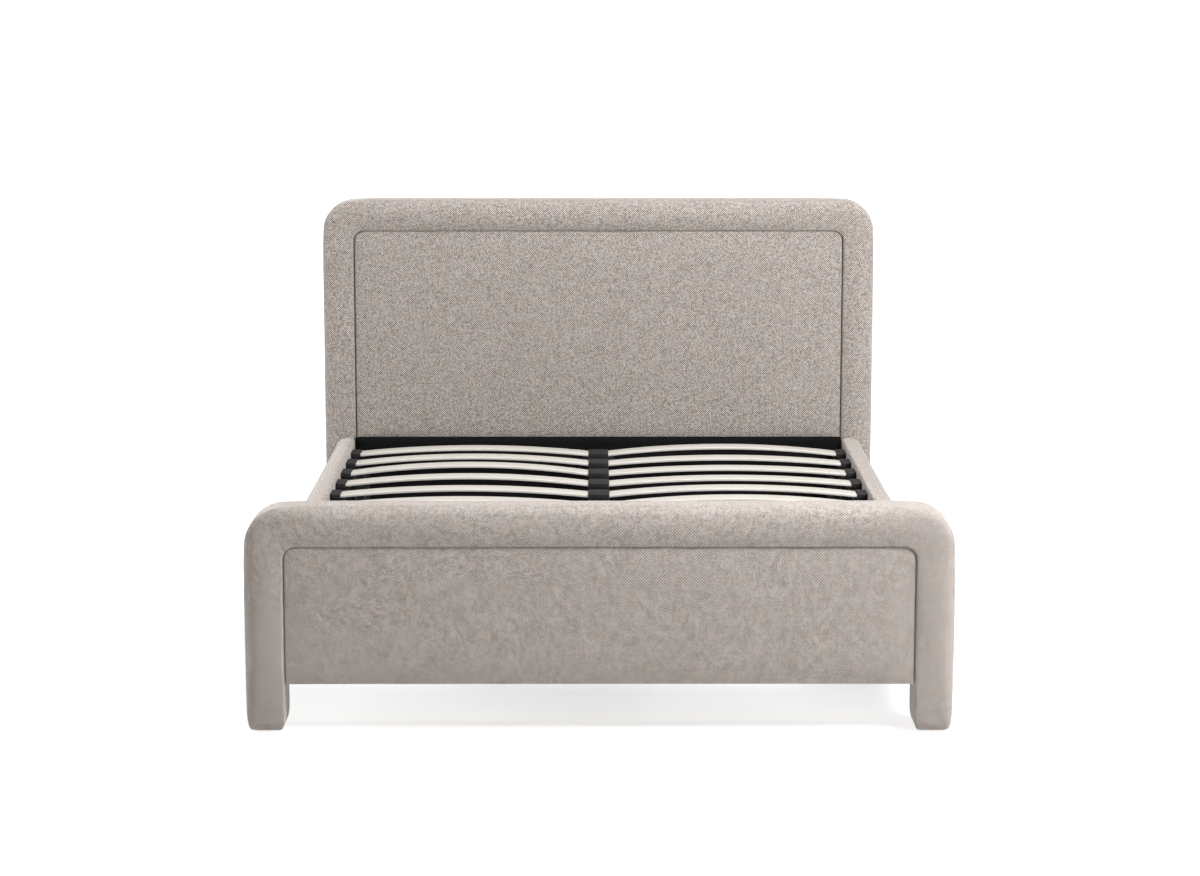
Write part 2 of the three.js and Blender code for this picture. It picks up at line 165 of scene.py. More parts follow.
# %% Heather cloth material
def heather_cloth():
    material, tree, shader = start_material(
        "woven_heather_polyester", "#a59d97", Roughness=0.92, Specular_IOR_Level=0.25,
        Sheen_Weight=0.35, Sheen_Roughness=0.45)
    shader.inputs["Sheen Tint"].default_value = linear("#f4efe9")
    uv = add(tree, "ShaderNodeUVMap", uv_map=WOVEN)
    cell = add(tree, VECTOR_MATH, {0: uv, "Scale": 1 / THREAD}, operation="SCALE")
    across = add(tree, "ShaderNodeSeparateXYZ", {0: cell})
    warp, weft = [add(tree, MATH, {0: across.outputs[i]}, operation="FLOOR") for i in (0, 1)]
    # Plain weave: the two yarns take turns on top.
    step = add(tree, MATH, {0: warp, 1: weft}, operation="ADD")
    place = add(tree, MATH, {0: step, 1: 2.0}, operation="FLOORED_MODULO")
    warp_up = add(tree, MATH, {0: place, 1: 0.5}, operation="LESS_THAN")
    # Tone: one random value to each short run of each yarn.
    tones = []
    for thread, along, seed in ((warp, across.outputs[1], 3.0), (weft, across.outputs[0], 47.0)):
        start = add(tree, "ShaderNodeTexWhiteNoise", {"W": thread}, noise_dimensions="1D")
        run = add(tree, MATH, {0: along, 1: 1 / TONE_RUN, 2: start}, operation="MULTIPLY_ADD")
        run_number = add(tree, MATH, {0: run}, operation="FLOOR")
        key = add(tree, COMBINE, {0: thread, 1: run_number, 2: seed})
        tones.append(add(tree, "ShaderNodeTexWhiteNoise", {"Vector": key}, noise_dimensions="3D"))
    warp_tone, weft_tone = [add(tree, MAP_RANGE, {"Value": tone, "To Min": least, "To Max": most})
                            for tone, (least, most) in zip(tones, (WARP_TONES, WEFT_TONES))]
    tone = add(tree, MIX, {0: warp_up, 2: weft_tone, 3: warp_tone})
    # Each yarn is round, and painted shade darkens its colour where it dips between its neighbours, with a
    # faint painted highlight on its crown.
    round_warp, round_weft = [add(tree, MATH, {0: across.outputs[i], 1: 0.5}, operation="PINGPONG")
                              for i in (0, 1)]
    ridge = add(tree, MIX, {0: warp_up, 2: round_weft, 3: round_warp})
    painted_yarn_shading = add(tree, MAP_RANGE, {"Value": ridge, "From Max": 0.5, "To Min": PAINTED_YARN_SHADING[0], "To Max": PAINTED_YARN_SHADING[1]})
    # Slow patches of warmer and cooler tone, as dyed fibre has.
    patch = add(tree, NOISE, {"Vector": uv, "Scale": 1 / MOTTLE_SIZE, "Detail": 2.0})
    yarn = add(tree, MIX, {0: tone, 6: linear(TAUPE), 7: linear(CREAM)}, data_type="RGBA")
    shaded = add(tree, VECTOR_MATH, {0: yarn.outputs[2], "Scale": painted_yarn_shading}, operation="SCALE")
    warmth = add(tree, MIX, {0: patch, 6: linear("#ece8e2"), 7: linear("#e6e9f0")}, data_type="RGBA")
    dyed = add(tree, VECTOR_MATH, {0: shaded, 1: warmth.outputs[2]}, operation="MULTIPLY")
    bump = add(tree, BUMP, {"Strength": 0.2, "Distance": YARN_RELIEF, "Height": ridge})
    feed(tree, shader, {"Base Color": dyed, "Normal": bump})
    return material


cloth = heather_cloth()
print("cloth:", round(THREAD / MM, 1), "mm to a yarn")

# %% [markdown]
# ## Lining, rubber, nylon and coated steel
# Four blacks that the eye still tells apart. The lining is spun-bonded polypropylene: matt, with a grid of
# tiny bonded dimples. Rubber is dull with a faint dusty bloom, and nylon a little glossier. Steel has a
# powder coat, whose fine orange peel breaks up its highlights.


# %% Black finishes
DIMPLE_PITCH = 2.5 * MM
FIBRE_CLUMP = 9 * MM
DUST_PATCH = 60 * MM


def spunbond_lining():
    material, tree, shader = start_material("spunbond_polypropylene", "#0e0e0e", Roughness=0.95,
                                            Specular_IOR_Level=0.05)
    place = add(tree, "ShaderNodeTexCoord").outputs["Object"]
    dimples = add(tree, "ShaderNodeTexVoronoi", {
        "Vector": place, "Scale": 1 / DIMPLE_PITCH, "Randomness": 0.15}, feature="F1")
    fibres = add(tree, NOISE, {"Vector": place, "Scale": 1 / FIBRE_CLUMP, "Detail": 6.0})
    tone = add(tree, MIX, {0: fibres, 6: linear("#080808"), 7: linear("#141313")}, data_type="RGBA")
    bump = add(tree, BUMP, {"Strength": 0.4, "Distance": 0.3 * MM, "Height": dimples})
    feed(tree, shader, {"Base Color": tone.outputs[2], "Normal": bump})
    return material


def grainy_black(name, dark, light, grain, depth, rough):
    """A black moulded or coated surface: fine texture in its bump, and slow changes in tone and gloss."""
    material, tree, shader = start_material(name, dark, Specular_IOR_Level=0.3)
    place = add(tree, "ShaderNodeTexCoord").outputs["Object"]
    fine = add(tree, NOISE, {"Vector": place, "Scale": 1 / grain, "Detail": 3.0})
    slow = add(tree, NOISE, {"Vector": place, "Scale": 1 / DUST_PATCH, "Detail": 4.0})
    tone = add(tree, MIX, {0: slow, 6: linear(dark), 7: linear(light)}, data_type="RGBA")
    gloss = add(tree, MAP_RANGE, {"Value": slow, "To Min": rough - 0.12, "To Max": rough + 0.12})
    bump = add(tree, BUMP, {"Strength": 0.35, "Distance": depth, "Height": fine})
    feed(tree, shader, {"Base Color": tone.outputs[2], "Roughness": gloss, "Normal": bump})
    return material


lining = spunbond_lining()
rubber = grainy_black("moulded_rubber", "#0f0e0f", "#1c1a1b", 1.2 * MM, 0.25 * MM, 0.62)
nylon = grainy_black("moulded_nylon", "#161616", "#222222", 0.9 * MM, 0.15 * MM, 0.5)
coated_steel = grainy_black("powder_coated_steel", "#101010", "#1a1a1a", 1.5 * MM, 0.2 * MM, 0.42)
screw_steel = grainy_black("black_oxide_steel", "#1c1c1e", "#2c2c2e", 0.8 * MM, 0.1 * MM, 0.35)
print("black finishes:", [m.name for m in (lining, rubber, nylon, coated_steel, screw_steel)])

# %% [markdown]
# ## Wood
# All the wood here shows straight grain, because it is sawn or peeled along the trunk. Noise stretched along
# the grain gives long fibres, and slower bands of it give the growth rings. One recipe with a direction
# serves pine, plywood, birch and the stained legs. The slats are bent from layers of veneer, so their edges
# also show thin glue lines, which follow a "layer" value stored on the mesh.


# %% Wood material
FIBRE = 1.6 * MM
DRAWN_OUT = 0.04  # the noise's scale along the trunk, where it is 1 across
FIBRE_RELIEF = 0.2 * MM


def wood(name, pale, dark, along, ring, contrast=0.5, rough=0.6, layers=0):
    """Straight-grained wood. Along is the grain's axis, ring the spacing of its bands."""
    material, tree, shader = start_material(name, pale, Specular_IOR_Level=0.35)
    place = add(tree, "ShaderNodeTexCoord").outputs["Object"]
    stretch = [1.0, 1.0, 1.0]
    stretch["xyz".index(along)] = DRAWN_OUT
    grain = add(tree, "ShaderNodeMapping", {"Vector": place, "Scale": stretch})
    fibre = add(tree, NOISE, {"Vector": grain, "Scale": 1 / FIBRE, "Detail": 3.0})
    bands = add(tree, NOISE, {"Vector": grain, "Scale": 1 / ring, "Detail": 4.0, "Distortion": 0.4})
    both = add(tree, MIX, {0: 0.6, 2: fibre.outputs[0], 3: bands.outputs[0]})
    share = add(tree, MAP_RANGE, {"Value": both, "From Min": 0.35, "From Max": 0.65, "To Max": contrast})
    tone = add(tree, MIX, {0: share, 6: linear(pale), 7: linear(dark)}, data_type="RGBA").outputs[2]
    if layers:
        layer = add(tree, "ShaderNodeAttribute", attribute_name="layer")
        wave = add(tree, MATH, {0: layer.outputs["Fac"], 1: layers}, operation="MULTIPLY")
        within = add(tree, MATH, {0: wave}, operation="FRACT")
        line = add(tree, MATH, {0: within, 1: 0.2}, operation="LESS_THAN")
        glued = add(tree, MATH, {0: line, 1: 0.55}, operation="MULTIPLY")
        tone = add(tree, MIX, {0: glued, 6: tone, 7: linear(dark)}, data_type="RGBA").outputs[2]
    gloss = add(tree, MAP_RANGE, {"Value": fibre, "To Min": rough - 0.1, "To Max": rough + 0.1})
    bump = add(tree, BUMP, {"Strength": 0.25, "Distance": FIBRE_RELIEF, "Height": fibre})
    feed(tree, shader, {"Base Color": tone, "Roughness": gloss, "Normal": bump})
    return material


birch = wood("lacquered_birch_veneer", "#b4b1ab", "#9c9890", "x", 14 * MM, 0.45, 0.45, layers=5)
pine_upright, pine_across, pine_along = [
    wood("planed_pine_" + way, "#d9bd8e", "#b08a56", along, 12 * MM)
    for way, along in (("upright", "z"), ("across", "x"), ("along", "y"))]
plywood = wood("sanded_plywood", "#cdae7f", "#a98455", "x", 30 * MM)
stained_oak = wood("black_stained_hardwood", "#1f1c1a", "#0d0b0a", "z", 9 * MM, 0.8, 0.5)
print("woods:", [m.name for m in (birch, pine_upright, pine_across, pine_along, plywood, stained_oak)])

# %% [markdown]
# ## Finishes for the measured solids
# Steel, timbers and feet keep their solids and only get a better material, so a table from the start of a
# node's name to its finish is enough.

# %% Dress the measured solids
FINISHES = {
    "headboard_frame": pine_upright, "footboard_frame": pine_upright,
    "headboard_lower_rail": pine_across, "footboard_lower_rail": pine_across,
    "headboard_board": plywood, "footboard_board": plywood,
    "rail_board": pine_along,
    "slat_ledge": coated_steel, "centre_beam": coated_steel, "beam_hanger": coated_steel,
    "head_bracket": coated_steel, "foot_bracket": coated_steel,
    "centre_leg": stained_oak, "levelling_foot": nylon,
    "headboard_glide": nylon, "footboard_glide": nylon,
}
dressed = 0
for node_name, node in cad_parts.items():
    for start, material in FINISHES.items():
        if node_name.startswith(start):
            node.data.materials.clear()
            node.data.materials.append(material)
            dressed += 1
print("dressed", dressed, "measured solids")

# %% [markdown]
# ## From the frame to the soft pieces
# Everything soft is placed by the boxes of the solids it stands for. The arch's face width comes from the
# arch and the panel inside it.

# %% Sizes read from the frame
def low(node, axis):
    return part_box(node)[0]["xyz".index(axis)]


def high(node, axis):
    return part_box(node)[1]["xyz".index(axis)]


HALF_WIDTH = high("headboard_border", "x")
OPENING = high("headboard_panel", "x")
FACE = HALF_WIDTH - OPENING
CORNER = 96 * MM  # outer corner radius of both arches
SEAM_CORNER = 34 * MM  # the panels' top corners
FLOOR_GAP = low("headboard_border", "z")
print("arch face", round(FACE / MM, 1), "mm, seam corner", round(SEAM_CORNER / MM, 1), "mm")

# %% [markdown]
# ## Making a skin
# All the soft pieces are closed skins of quads about a centimetre across, which behave well in a cloth
# simulation and subdivide smoothly. Each corner of each face also gets a place on the flat cloth it was cut
# from, in metres, so the weave runs true to size over the padding.


# %% Skin helpers
def volume(points, faces):
    """Six times the signed volume: positive if the faces turn outwards."""
    p = np.array(points, float)
    total = 0.0
    for face in faces:
        for i in range(1, len(face) - 1):
            total += np.dot(p[face[0]], np.cross(p[face[i]], p[face[i + 1]]))
    return total


def skin(name, points, faces, flat):
    """A smooth closed mesh. Flat gives, for each face, the flat-cloth place of each corner."""
    if volume(points, faces) < 0:
        faces = [face[::-1] for face in faces]
        flat = [corners[::-1] for corners in flat]
    mesh = bpy.data.meshes.new(name)
    mesh.from_pydata([tuple(p) for p in points], [], [tuple(f) for f in faces])
    layer = mesh.uv_layers.new(name=WOVEN)
    layer.data.foreach_set("uv", np.array([c for corners in flat for c in corners], float).ravel())
    mesh.shade_smooth()
    mesh.materials.append(cloth)
    return put(name, mesh)


def spread(start, end, step):
    """Even values from start to end, no further apart than step."""
    count = max(1, math.ceil(abs(end - start) / step))
    return list(np.linspace(start, end, count + 1))


def quarter(centre, radius, start, steps):
    """The inner points of a quarter circle, from the angle start, turning left."""
    turns = [start + math.pi / 2 * i / steps for i in range(1, steps)]
    return [(centre[0] + radius * math.cos(t), centre[1] + radius * math.sin(t)) for t in turns]


STEP = 10 * MM
LONG_STEP = 1.2 * STEP  # along straight runs
print("skins have faces of about", STEP / MM, "mm")

# %% [markdown]
# ## Blowing up a pad
# Foam presses out against its cover, and the cover is held where it is stapled. A cloth simulation with
# pressure does the same: held points stay, and the rest swells until the cloth stops it. The swelling is
# capped, because foam is firm, and the cloth modifier is then replaced by the shape it made.

# %% Pad simulation
SIM_FRAMES = 20


def puff(piece, held, cap, pressure):
    """Swells a skin by pressure, with the held points fixed and no point moved further than cap."""
    group = piece.vertex_groups.new(name="held")
    group.add([int(i) for i in held], 1.0, "REPLACE")
    modifier = piece.modifiers.new("foam", "CLOTH")
    modifier.settings.vertex_group_mass = "held"
    modifier.settings.use_pressure = True
    modifier.settings.uniform_pressure_force = pressure
    modifier.settings.effector_weights.gravity = 0.0
    modifier.point_cache.frame_end = SIM_FRAMES
    for number in range(1, SIM_FRAMES + 1):
        scene.frame_set(number)
    swollen = piece.evaluated_get(bpy.context.evaluated_depsgraph_get()).data
    places = np.zeros(len(piece.data.vertices) * 3)
    rest = places.copy()
    swollen.vertices.foreach_get("co", places)
    piece.data.vertices.foreach_get("co", rest)
    moved = (places - rest).reshape(-1, 3)
    far = np.linalg.norm(moved, axis=1, keepdims=True)
    eased = moved * (cap * np.tanh(far / cap) / np.maximum(far, 1e-9))
    piece.data.vertices.foreach_set("co", rest + eased.ravel())
    piece.modifiers.remove(modifier)
    piece.vertex_groups.remove(group)
    scene.frame_set(1)
    print(piece.name, "swelled by", round(float(far.max()) / MM, 1), "mm, capped at", round(cap / MM, 1))


def undulate(piece, held, depth, size, seed):
    """Foam is never quite even, so the free points get slow, shallow waves along their normals."""
    shift = Vector((seed, 0, 0))
    waves = [noise.noise(v.co / size + shift) for v in piece.data.vertices]
    for i in held:
        waves[i] = 0.0
    normals = np.array([n.vector for n in piece.data.vertex_normals], float)
    places = np.array([v.co for v in piece.data.vertices], float)
    places += normals * depth * np.array(waves)[:, None]
    piece.data.vertices.foreach_set("co", places.ravel())
    piece.data.update()


def finish_skin(piece, node):
    """One level of subdivision, then its body, and the solid it stands for is hidden."""
    smooth = piece.modifiers.new("smooth", "SUBSURF")
    smooth.levels = smooth.render_levels = 1
    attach(piece, BODY)
    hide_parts(node)


def upholster(piece, node, held, foam, waves):
    """Foam is a cap and a pressure. Waves are a depth, a size and a seed."""
    puff(piece, held, *foam)
    undulate(piece, held, *waves)
    finish_skin(piece, node)
    print(piece.name, len(piece.data.polygons), "faces")


# %% [markdown]
# ## The padded arches
# Each end of the bed is one arch of foam over timber under a single cloth, so one section swept along it
# makes it. The section is a rounded rectangle: tight where the cloth turns into the seam, generous on the
# outside. Near the floor it shrinks, because the cloth is pulled in under the leg and stapled there.

# %% Arch section
SEAM_ROLL = 6 * MM
BACK_ROLL = 12 * MM
OUTER_ROLL = 22 * MM
SWELL = 3 * MM  # left free for the foam to fill
SLOPE_WIDTH = 42 * MM


def arch_section(depth, slope):
    """Points (out, back, run) round the section: out from the seam, back from the front, run along the
    cloth from the seam's roll. The front falls back by slope as it nears the seam."""
    out, back = FACE - SWELL, depth
    points = [(0.0, y) for y in spread(back - BACK_ROLL, SEAM_ROLL, STEP)]
    seam_index = len(points) - 1
    points += quarter((SEAM_ROLL, SEAM_ROLL), SEAM_ROLL, math.pi, 4)
    points += [(x, 0.0) for x in spread(SEAM_ROLL, out - OUTER_ROLL, STEP)]
    points += quarter((out - OUTER_ROLL, OUTER_ROLL), OUTER_ROLL, -math.pi / 2, 7)
    points += [(out, y) for y in spread(OUTER_ROLL, back - OUTER_ROLL, STEP)]
    points += quarter((out - OUTER_ROLL, back - OUTER_ROLL), OUTER_ROLL, 0.0, 7)
    back_index = len(points)
    points += [(x, back) for x in spread(out - OUTER_ROLL, BACK_ROLL, STEP)]
    points += quarter((BACK_ROLL, back - BACK_ROLL), BACK_ROLL, math.pi / 2, 3)
    for i in range(seam_index, back_index):
        x, y = points[i]
        if x < SLOPE_WIDTH and y < depth / 2:
            points[i] = (x, y + slope * (1 - math.sin(x / SLOPE_WIDTH * math.pi / 2)))
    runs = [0.0]
    for near, far in zip(points, points[1:]):
        runs.append(runs[-1] + math.dist(near, far))
    return [(x, y, run - runs[seam_index]) for (x, y), run in zip(points, runs)], back_index


def arch_path(top):
    """Points (x, z, out x, out z) along the seam, from the left foot to the right. Out points from the seam
    to the arch's outside, and its length is 1 where they are FACE apart."""
    leg_top = top - CORNER
    seam_x, seam_z = OPENING - SEAM_CORNER, top - FACE - SEAM_CORNER
    near_floor = [0, 2, 5, 10, 17, 26, 38]
    heights = [FLOOR_GAP + z * MM for z in near_floor] + spread(50 * MM, seam_z, LONG_STEP)
    left = [(-OPENING, z, -1.0, 0.0) for z in heights]
    for turn in spread(math.pi, math.pi / 2, math.radians(6))[1:-1]:
        c, s = math.cos(turn), math.sin(turn)
        near = Vector((-seam_x + SEAM_CORNER * c, seam_z + SEAM_CORNER * s))
        far = Vector((CORNER - HALF_WIDTH + CORNER * c, leg_top + CORNER * s))
        left.append((*near, *((far - near) / FACE)))
    half = [(x, top - FACE, 0.0, 1.0) for x in spread(-seam_x, 0.0, LONG_STEP)]
    across = half + [(-x, z, ox, oz) for x, z, ox, oz in reversed(half[:-1])]
    right = [(-x, z, -ox, oz) for x, z, ox, oz in reversed(left)]
    return left + across + right


# %% [markdown]
# ## Sweeping the arch
# The sweep places one ring of the section at each point of the path. For the weave, each ring is unrolled: a
# point lies where it would be if the section were opened out flat. Left and right halves mirror each other.

# %% Arches
TAPER_HEIGHT = 38 * MM
TAPER = 11 * MM
HALF_SHIFT = 0.37  # metres on the flat cloth between the left and right cuts
FOOT_RINGS = (0.85, 0.45)
SEAM_HOLD = 4 * MM  # the cloth is held this far outside the seam
FOOT_HOLD = 20 * MM
SLOPES = {"headboard": 6 * MM, "footboard": 2 * MM}
ARCH_FOAM = (4 * MM, 0.4)
ARCH_WAVES = (0.5 * MM, 90 * MM, 3.0)


def taper(z):
    """How far the section has drawn in at height z."""
    share = min(1.0, max(0.0, 1 - (z - FLOOR_GAP) / TAPER_HEIGHT))
    return TAPER * (1 - math.sqrt(1 - share ** 2))


def make_arch(name, node, slope):
    front, depth, top = low(node, "y"), high(node, "y") - low(node, "y"), high(node, "z")
    section, back_index = arch_section(depth, slope)
    path = arch_path(top - SWELL)
    centre = (FACE / 2, depth / 2)
    points, unrolled, plain = [], [], []
    for x, z, ox, oz in path:
        inset = taper(z)
        for out, back, run in section:
            o = centre[0] + (out - centre[0]) * (1 - 2 * inset / FACE)
            b = centre[1] + (back - centre[1]) * (1 - 2 * inset / depth)
            points.append((x + ox * o, front + b, z + oz * o))
            unrolled.append((abs(x + ox * run), z + oz * run))
            plain.append((abs(x + ox * o), z + oz * o))
    count, ring = len(path), len(section)
    faces, flat = [], []
    for i in range(count - 1):
        shift = HALF_SHIFT if path[i][0] + path[i + 1][0] > 0 else 0.0
        for k in range(ring):
            k_next = (k + 1) % ring
            corners = [i * ring + k, i * ring + k_next, (i + 1) * ring + k_next, (i + 1) * ring + k]
            source = plain if k >= back_index - 1 or k_next == 0 else unrolled
            faces.append(corners)
            flat.append([(source[c][0] + shift, source[c][1]) for c in corners])
    for first, turned in ((0, True), ((count - 1) * ring, False)):
        close_foot(points, faces, flat, first, ring, turned)
    return skin(name, points, faces, flat)


def close_foot(points, faces, flat, first, ring, turned):
    """Closes a leg's underside with two smaller rings and a middle point."""
    loop = list(range(first, first + ring))
    middle = Vector(np.mean([points[i] for i in loop], axis=0))
    for share in FOOT_RINGS:
        inner = []
        for i in loop:
            spot = middle + (Vector(points[first + (i - loop[0])]) - middle) * share
            inner.append(len(points))
            points.append((spot.x, spot.y, middle.z))
        join_loops(points, faces, flat, loop, inner, turned)
        loop = inner
    points.append(tuple(middle))
    for k, i in enumerate(loop):
        corners = [i, loop[(k + 1) % ring], len(points) - 1]
        faces.append(corners[::-1] if turned else corners)
        flat.append([points[c][:2] for c in faces[-1]])


def join_loops(points, faces, flat, outer, inner, turned):
    for k in range(len(outer)):
        n = (k + 1) % len(outer)
        corners = [outer[k], outer[n], inner[n], inner[k]]
        faces.append(corners[::-1] if turned else corners)
        flat.append([points[c][:2] for c in faces[-1]])


for end, slope in SLOPES.items():
    node = end + "_border"
    arch = make_arch(end + "_arch", node, slope)
    seam_top = high(node, "z") - FACE
    held = [v.index for v in arch.data.vertices if v.co.z < FOOT_HOLD
            or abs(v.co.x) < OPENING + SEAM_HOLD and v.co.z < seam_top + SEAM_HOLD]
    upholster(arch, node, held, ARCH_FOAM, ARCH_WAVES)

# %% [markdown]
# ## The inset panels
# A panel is a foam pad on plywood, its cloth pulled back into the seam. It is nearly flat, falls off gently
# over the last two centimetres and then rolls into the seam. A grid of quads is bent to round its two top
# corners, so the faces stay even there. The lower edge is a fold.

# %% Panel grid
PANEL_FALL = 1.5 * MM
FALL_WIDTH = 24 * MM
PANEL_ROLL = 4 * MM
SLITS = {"headboard": 3.0 * MM, "footboard": 1.6 * MM}  # air between panel and arch
FOLD_ROLL = 2 * MM  # the lower edge is a tight fold
EDGE_STEPS_MM = (0, 0.8, 2.4, 5, 9, 15, 24)
BACK_SHIFT = 0.8  # metres on the flat cloth between a panel's front and back
PANEL_FOAM = (6 * MM, 2.0)
PANEL_WAVES = (0.6 * MM, 120 * MM, 11.0)


def graded(start, end):
    """Values from start to end that are close together near both, as an edge's roll needs."""
    edge = [s * MM for s in EDGE_STEPS_MM]
    middle = spread(start + edge[-1], end - edge[-1], LONG_STEP)[1:-1]
    return [start + s for s in edge] + middle + [end - s for s in reversed(edge)]


def round_corner(x, z, half, top, radius):
    """Bends a square grid's top corners to a radius, and keeps its other points."""
    cx, cz = half - radius, top - radius
    p, q = (abs(x) - cx) / radius, (z - cz) / radius
    if p <= 0 or q <= 0:
        return x, z
    bent_p, bent_q = p * math.sqrt(1 - q * q / 2), q * math.sqrt(1 - p * p / 2)
    return math.copysign(cx + radius * bent_p, x), cz + radius * bent_q


def panel_fall(x, z, half, bottom, top, radius):
    """How far the panel's face lies back at a point, from its distance to the edge."""
    cx, cz = half - radius, top - radius
    if abs(x) > cx and z > cz:
        side = radius - math.hypot(abs(x) - cx, z - cz)
    else:
        side = min(half - abs(x), top - z)
    slow = PANEL_FALL * (1 - math.sin(min(1.0, max(0.0, side) / FALL_WIDTH) * math.pi / 2))
    roll = 1 - min(1.0, max(0.0, side) / PANEL_ROLL)
    fold = 1 - min(1.0, (z - bottom) / FOLD_ROLL)
    rolled = PANEL_ROLL * (1 - math.sqrt(1 - roll ** 2)), FOLD_ROLL * (1 - math.sqrt(1 - fold ** 2))
    return slow + max(rolled)


def make_panel(name, node, swell, slit, thin=False):
    """A padded or thin panel with rounded top corners, its face towards -Y or, if thin, both ways."""
    (_, front, bottom), (half, back, top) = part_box(node)
    half, top = half - slit, top - slit
    xs, zs = graded(-half, half), graded(bottom, top)
    columns = len(xs)
    points = []
    for side in (0, 1):
        for z in zs:
            for x in xs:
                px, pz = round_corner(x, z, half, top, SEAM_CORNER)
                fall = panel_fall(px, pz, half, bottom, top, SEAM_CORNER)
                if thin:
                    fall = min(fall, (back - front) / 2)
                    points.append((px, front + fall if side == 0 else back - fall, pz))
                else:
                    points.append((px, front + swell + fall if side == 0 else back, pz))
    per_side = len(points) // 2
    faces = []
    for r in range(len(zs) - 1):
        for c in range(columns - 1):
            a = r * columns + c
            quad = [a, a + 1, a + columns + 1, a + columns]
            faces.append(quad)
            faces.append([i + per_side for i in reversed(quad)])
    rim = list(range(columns)) + [r * columns + columns - 1 for r in range(1, len(zs))]
    rim += list(range(per_side - 2, per_side - columns - 1, -1))
    rim += [r * columns for r in range(len(zs) - 2, 0, -1)]
    for here, there in zip(rim, rim[1:] + rim[:1]):
        faces.append([there, here, here + per_side, there + per_side])
    flat = [[(points[i][0] + (BACK_SHIFT if i >= per_side else 0.0), points[i][2] + points[i][1] - front)
             for i in f] for f in faces]
    return skin(name, points, faces, flat), per_side


for end in ("headboard", "footboard"):
    node = end + "_panel"
    slit = SLITS[end]
    panel, per_side = make_panel(end + "_pad", node, SWELL, slit)
    (_, _, bottom), (half, _, top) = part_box(node)
    edge = [v.index for v in panel.data.vertices if v.index >= per_side or
            panel_fall(v.co.x, v.co.z, half - slit, bottom, top - slit, SEAM_CORNER) > PANEL_FALL]
    upholster(panel, node, edge, PANEL_FOAM, PANEL_WAVES)

# %% [markdown]
# ## Rear and inner covers
# Hardboard wrapped in the same cloth closes the headboard's back and the footboard's mattress side. The
# cloth lies flat and only its edges are rounded.

# %% Covers
COVER_WAVES = (0.3 * MM, 150 * MM, 5.0)
for end, node, name in (("headboard", "headboard_rear_cover", "rear_cloth"),
                        ("footboard", "footboard_inner_cover", "inner_cloth")):
    cover, _ = make_panel(name, node, 0.0, MM, thin=True)
    undulate(cover, [], *COVER_WAVES)
    finish_skin(cover, node)
    lo_corner, hi_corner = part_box(node)

# %% [markdown]
# ## The padded side rails
# A rail is a board wrapped in thin foam and cloth, with a soft round top edge on the outside. The cloth is
# stapled underneath and pulled tight, so the faces crown only a little.

# %% Rail skins
RAIL_ROUNDS = (28 * MM, 12 * MM, 8 * MM)  # outer top, inner top, both lower edges
LOW_HOLD = 12 * MM
END_HOLD = 6 * MM
RAIL_FOAM = (5 * MM, 0.5)


def rail_outline(inner, outer, bottom, top):
    """The rail's section as points (x, z), up the inside and over to the outside."""
    r_out, r_in, r_low = RAIL_ROUNDS
    points = [(inner, z) for z in spread(bottom + r_low, top - r_in, STEP)]
    points += [(2 * (inner + r_in) - x, z) for x, z in quarter((inner + r_in, top - r_in), r_in, 0.0, 4)]
    points += [(x, top) for x in spread(inner + r_in, outer - r_out, STEP)]
    points += quarter((outer - r_out, top - r_out), r_out, 0.0, 6)[::-1]
    points += [(outer, z) for z in spread(top - r_out, bottom + r_low, STEP)]
    points += quarter((outer - r_low, bottom + r_low), r_low, -math.pi / 2, 3)[::-1]
    points += [(x, bottom) for x in spread(outer - r_low, inner + r_low, STEP)]
    points += quarter((inner + r_low, bottom + r_low), r_low, -math.pi, 3)[::-1]
    return points


def make_rail(name, node, side):
    (x_low, y_low, bottom), (x_high, y_high, top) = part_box(node)
    inner = min(abs(x_low), abs(x_high))
    outline = rail_outline(inner, max(abs(x_low), abs(x_high)) - SWELL, bottom, top - SWELL / 2)
    runs = [0.0]
    for near, far in zip(outline, outline[1:] + outline[:1]):
        runs.append(runs[-1] + math.dist(near, far))
    stations = graded(y_low, y_high)
    ring = len(outline)
    points = [(side * x, y, z) for y in stations for x, z in outline]
    faces, flat = [], []
    for i in range(len(stations) - 1):
        for k in range(ring):
            n = (k + 1) % ring
            corners = [(i * ring + k, k), (i * ring + n, k + 1),
                       ((i + 1) * ring + n, k + 1), ((i + 1) * ring + k, k)]
            if side > 0:
                corners.reverse()
            faces.append([c[0] for c in corners])
            flat.append([(points[c[0]][1], runs[c[1]]) for c in corners])
    for first, turned in ((0, side < 0), ((len(stations) - 1) * ring, side > 0)):
        ends = list(range(first, first + ring))
        ends = ends[::-1] if turned else ends
        faces.append(ends)
        flat.append([(points[i][0], points[i][2]) for i in ends])
    return skin(name, points, faces, flat)


for side, word in ((-1, "left"), (1, "right")):
    node = "rail_cover_" + word
    rail = make_rail("rail_pad_" + word, node, side)
    lo_corner, hi_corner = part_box(node)
    held = [v.index for v in rail.data.vertices if v.co.z < lo_corner.z + LOW_HOLD
            or min(v.co.y - lo_corner.y, hi_corner.y - v.co.y) < END_HOLD
            or abs(v.co.x) < min(abs(lo_corner.x), abs(hi_corner.x)) + MM]
    upholster(rail, node, held, RAIL_FOAM, (0.6 * MM, 110 * MM, 7.0 + side))

# %% [markdown]
# ## Black lining
# Below the headboard's panel a black spun-bonded cloth hides the cross rail, and more of it lines both
# rails. It is thin and stapled tight, so each piece is a flat grid with half a millimetre of body. At the
# headboard it has faint slack waves, a welt where two widths are joined, and a top edge that turns back
# under the panel.


